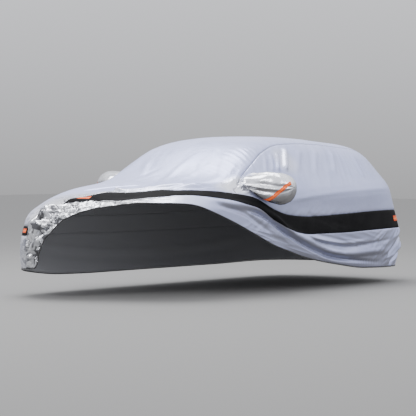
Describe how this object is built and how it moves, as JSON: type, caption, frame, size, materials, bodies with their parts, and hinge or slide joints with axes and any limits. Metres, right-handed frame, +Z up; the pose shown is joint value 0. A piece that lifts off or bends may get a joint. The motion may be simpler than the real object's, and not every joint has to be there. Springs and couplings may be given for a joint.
{
  "type": "car cover",
  "caption": "Fitted silver car cover with black side bands, mirror pockets and reflective tapes, draped as over a compact hatchback, its front left corner lifted over the bonnet.",
  "frame": {"origin": "the rest under the middle of the roof, on the cloth's inner face", "axes": "+X towards the nose of the covered car, +Y to its left, +Z up"},
  "size_m": [4.3667, 2.2844, 1.3278],
  "materials": {
    "silver_cloth": "silver-coated cloth with a soft satin sheen",
    "foil_cloth": "foil-coated cloth, brighter and shinier than the panels",
    "black_cloth": "matte black woven cloth",
    "reflective_tape": "orange reflective tape with a pale centre stripe",
    "binding_cord": "matte black elastic binding"
  },
  "bodies": {
    "root": {"top_panel": "silver_cloth", "side_left": "silver_cloth", "side_right": "silver_cloth", "band_left": "black_cloth", "band_right": "black_cloth", "skirt_left": "silver_cloth", "skirt_right": "silver_cloth", "mirror_pocket_left": "foil_cloth", "mirror_pocket_right": "foil_cloth", "reflector_pocket_left": "reflective_tape", "reflector_pocket_right": "reflective_tape", "reflector_front_left": "reflective_tape", "reflector_front_right": "reflective_tape", "reflector_rear_left": "reflective_tape", "reflector_rear_right": "reflective_tape", "hem_binding": "binding_cord"}
  },
  "joints": []
}
